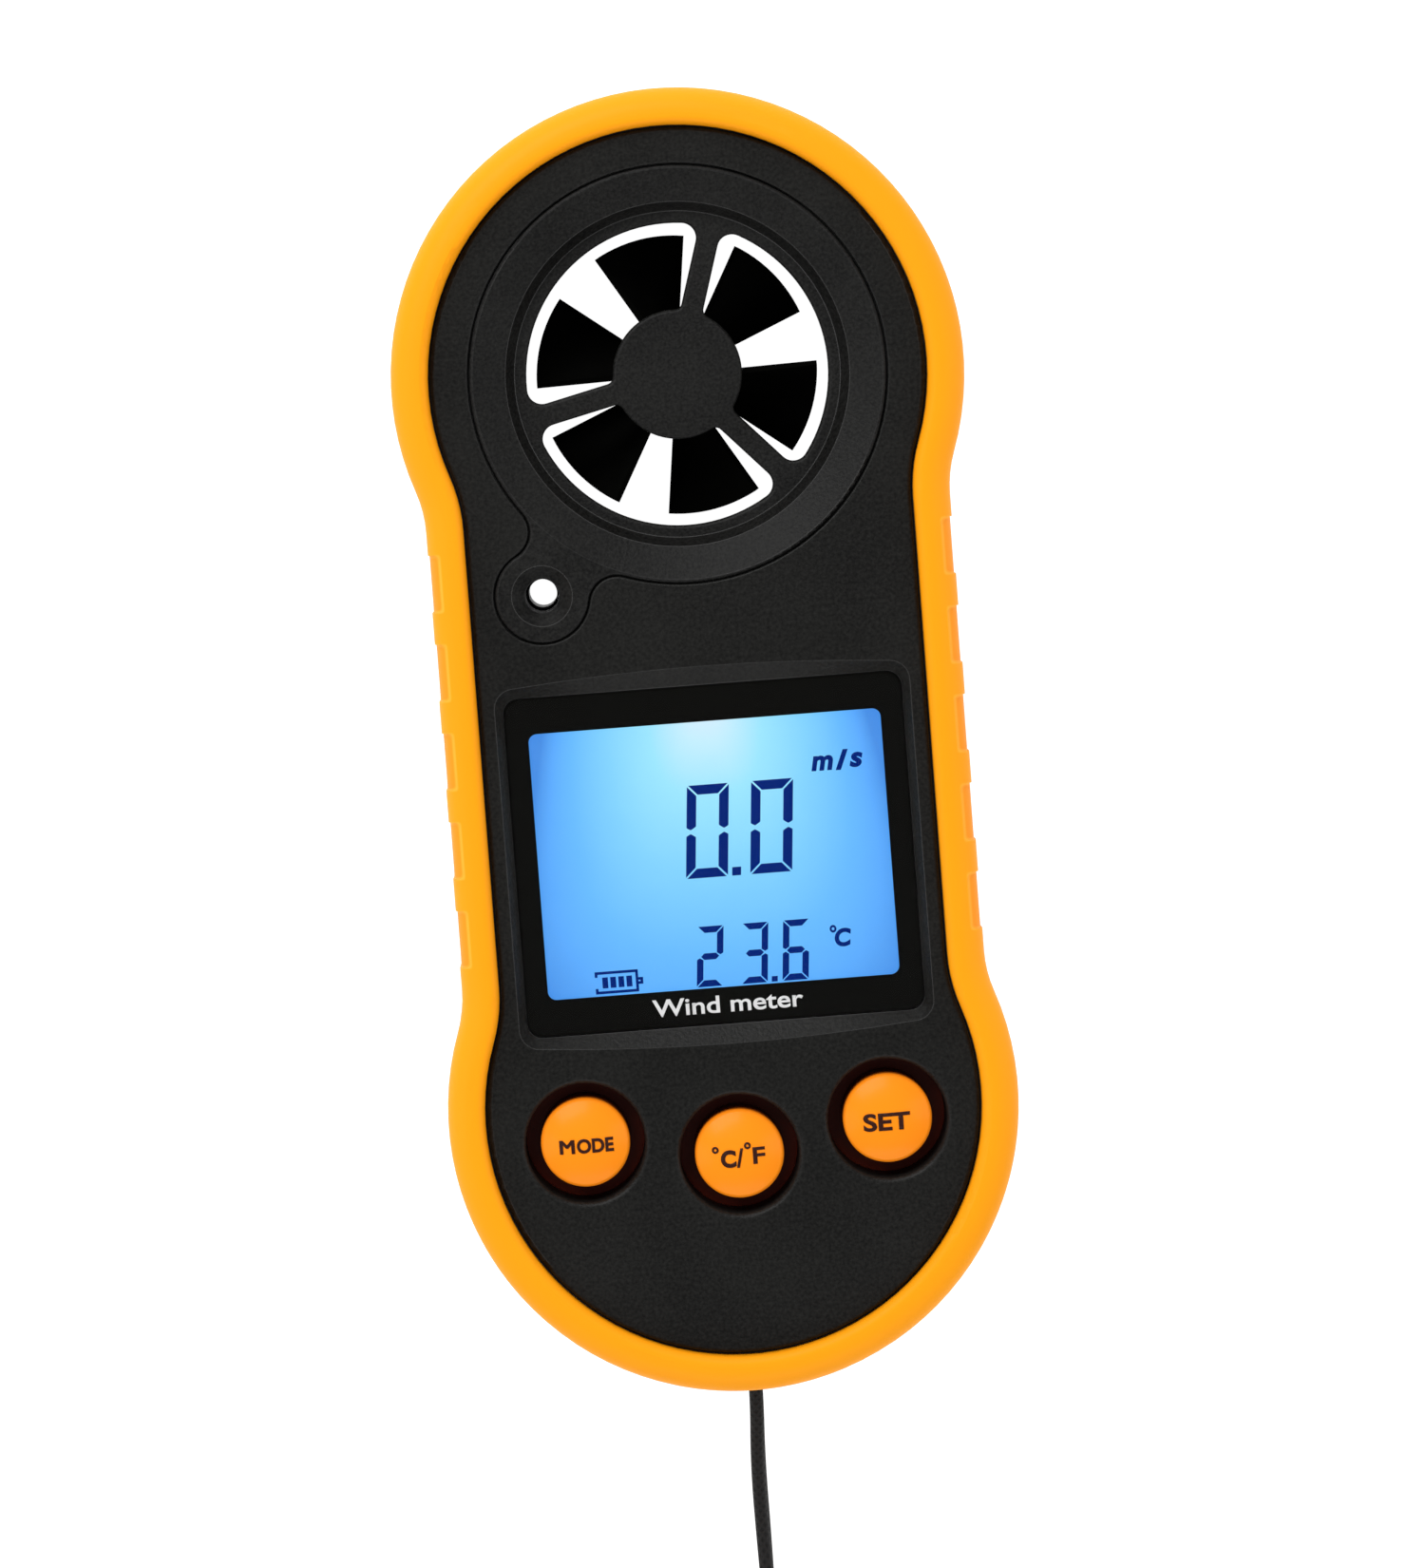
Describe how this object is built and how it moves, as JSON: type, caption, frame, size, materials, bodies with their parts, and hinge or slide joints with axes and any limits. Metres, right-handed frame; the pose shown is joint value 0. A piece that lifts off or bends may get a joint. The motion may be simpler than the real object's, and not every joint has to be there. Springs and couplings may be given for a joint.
{
  "type": "handheld weather meter",
  "caption": "Waisted handheld vane weather meter with a caged fan head, back-lit display, domed push buttons, soft grip band and wrist lanyard.",
  "frame": {"origin": "on the back's rest plane, midway between the two round ends (bottom centre of the instrument's box without the lanyard)", "axes": "+X to the right of the face, +Y towards the fan head, +Z out of the face; the instrument lies on its back"},
  "size_m": [0.046, 0.1837, 0.02],
  "materials": {
    "bumper_rubber": "satin, soft orange moulding",
    "case_plastic": "fine spark texture, near black",
    "guard_plastic": "satin, near black",
    "impeller_plastic": "glossy black",
    "button_plastic": "glossy orange",
    "lens_clear": "clear, hard coated",
    "mask_ink": "gloss black ink",
    "lcd_cell": "back-lit blue cell",
    "guide_clear": "clear light guide",
    "frame_plastic": "white moulding",
    "lamp_white": "white lamp body",
    "strip_rubber": "layered contact rubber",
    "board_green": "solder mask",
    "chip_black": "moulded epoxy",
    "steel": "satin steel",
    "spring_brass": "plated spring strip",
    "jewel_red": "synthetic ruby",
    "sensor_glass": "glass bead",
    "gasket_rubber": "black ring",
    "cell_steel": "polished can",
    "cord_black": "black braid",
    "crimp_black": "black sleeve"
  },
  "bodies": {
    "housing": {"front_case": "case_plastic", "rear_case": "case_plastic", "bumper": "bumper_rubber", "fan_guard_front": "guard_plastic", "fan_guard_rear": "guard_plastic", "fan_duct": "guard_plastic", "front_jewel": "jewel_red", "rear_jewel": "jewel_red", "display_lens": "lens_clear", "display_mask": "mask_ink", "lcd_glass": "lcd_cell", "lcd_frame": "frame_plastic", "light_guide": "guide_clear", "backlight_lamp": "lamp_white", "contact_strip": "strip_rubber", "main_board": "board_green", "processor_chip": "chip_black", "board_components": "chip_black", "blade_sensor": "chip_black", "thermistor": "sensor_glass", "coin_cell": "cell_steel", "cell_spring": "spring_brass", "cell_side_contact": "spring_brass", "case_screws": "steel", "board_screws": "steel", "lanyard_loop": "cord_black", "lanyard_crimp": "crimp_black", "wrist_cord_hank": "cord_black", "hank_tie": "crimp_black", "mode_switch": "chip_black", "unit_switch": "chip_black", "set_switch": "chip_black"},
    "impeller": {"impeller": "impeller_plastic", "impeller_shaft": "steel"},
    "mode_button": {"mode_button": "button_plastic"},
    "unit_button": {"unit_button": "button_plastic"},
    "set_button": {"set_button": "button_plastic"},
    "battery_cover": {"battery_cover": "case_plastic", "battery_gasket": "gasket_rubber"}
  },
  "joints": [
    {"name": "impeller_spin", "type": "hinge", "parent": "housing", "child": "impeller", "pos_m": [0, 0.0296, 0], "axis": [0, 0, 1], "continuous": true},
    {"name": "mode_button_press", "type": "slide", "parent": "housing", "child": "mode_button", "axis": [0, 0, -1], "range_m": [0, 0.0004], "stiffness_N_per_m": 3000},
    {"name": "unit_button_press", "type": "slide", "parent": "housing", "child": "unit_button", "axis": [0, 0, -1], "range_m": [0, 0.0004], "stiffness_N_per_m": 3000},
    {"name": "set_button_press", "type": "slide", "parent": "housing", "child": "set_button", "axis": [0, 0, -1], "range_m": [0, 0.0004], "stiffness_N_per_m": 3000},
    {"name": "battery_cover_twist", "type": "hinge", "parent": "housing", "child": "battery_cover", "pos_m": [0, -0.0295, 0], "axis": [0, 0, 1], "range_deg": [0, 30]}
  ]
}
